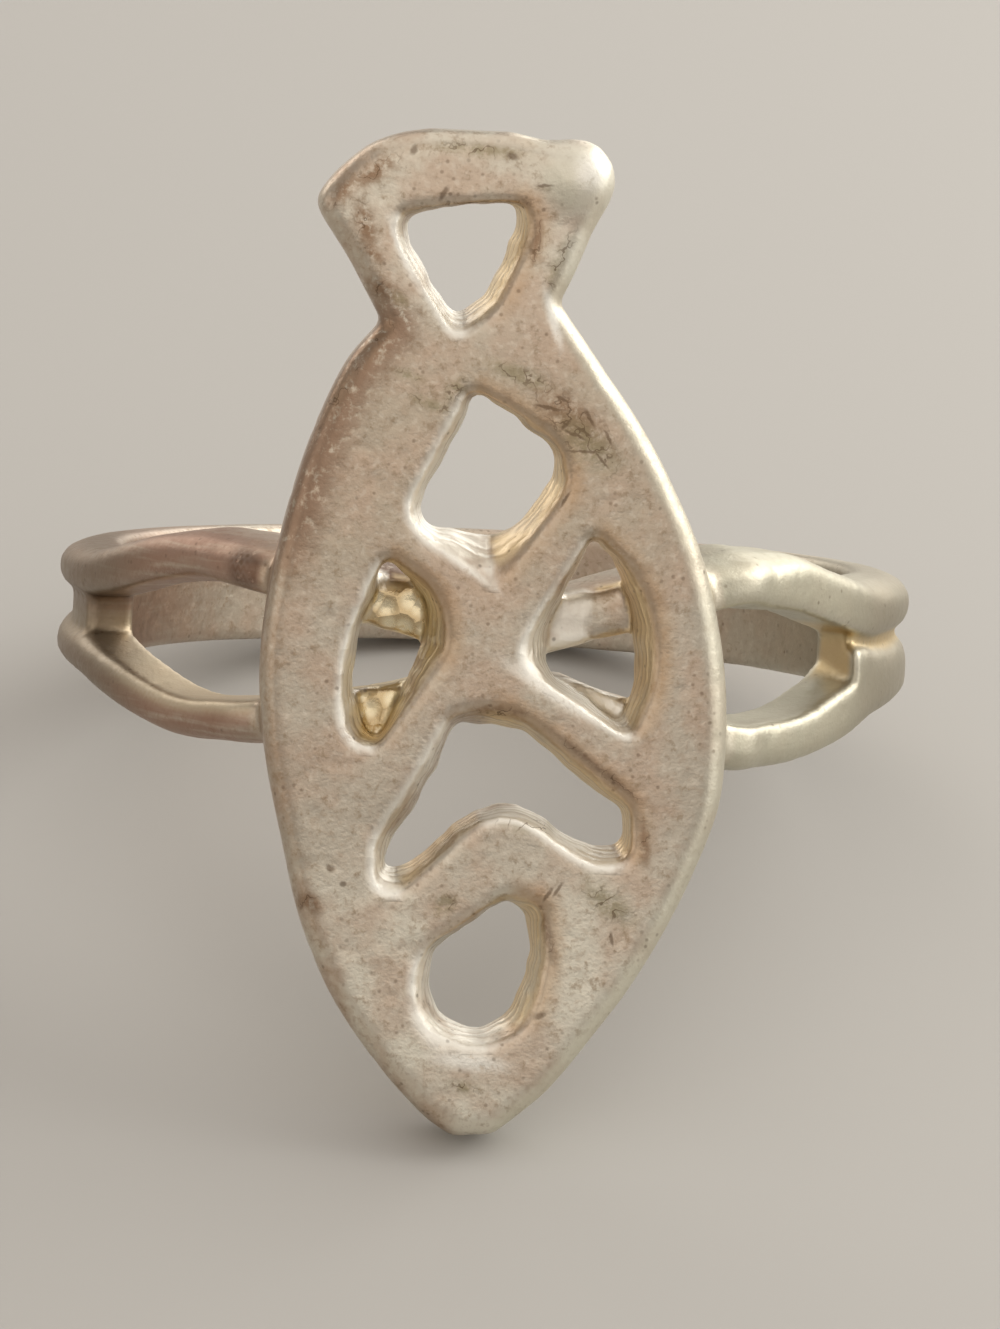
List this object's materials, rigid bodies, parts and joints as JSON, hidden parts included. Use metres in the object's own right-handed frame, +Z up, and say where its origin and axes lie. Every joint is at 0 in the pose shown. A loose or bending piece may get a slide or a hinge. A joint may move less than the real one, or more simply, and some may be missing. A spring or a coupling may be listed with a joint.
{
  "type": "cutout ring",
  "caption": "Cast silver finger ring: a pierced plate in the shape of a fish with a fanned tail, on a shank whose wires part at the shoulders",
  "frame": {"origin": "middle of the box around the ring as it lies on its side, at floor height", "axes": "+Z up, -Y towards the front of the fish plate, tail up and head tip on the floor, X across the shank"},
  "size_m": [0.0202, 0.0244, 0.0208],
  "materials": {
    "silver": "satin cast silver with a warm tarnish"
  },
  "bodies": {
    "root": {"ring": "silver"}
  },
  "joints": []
}
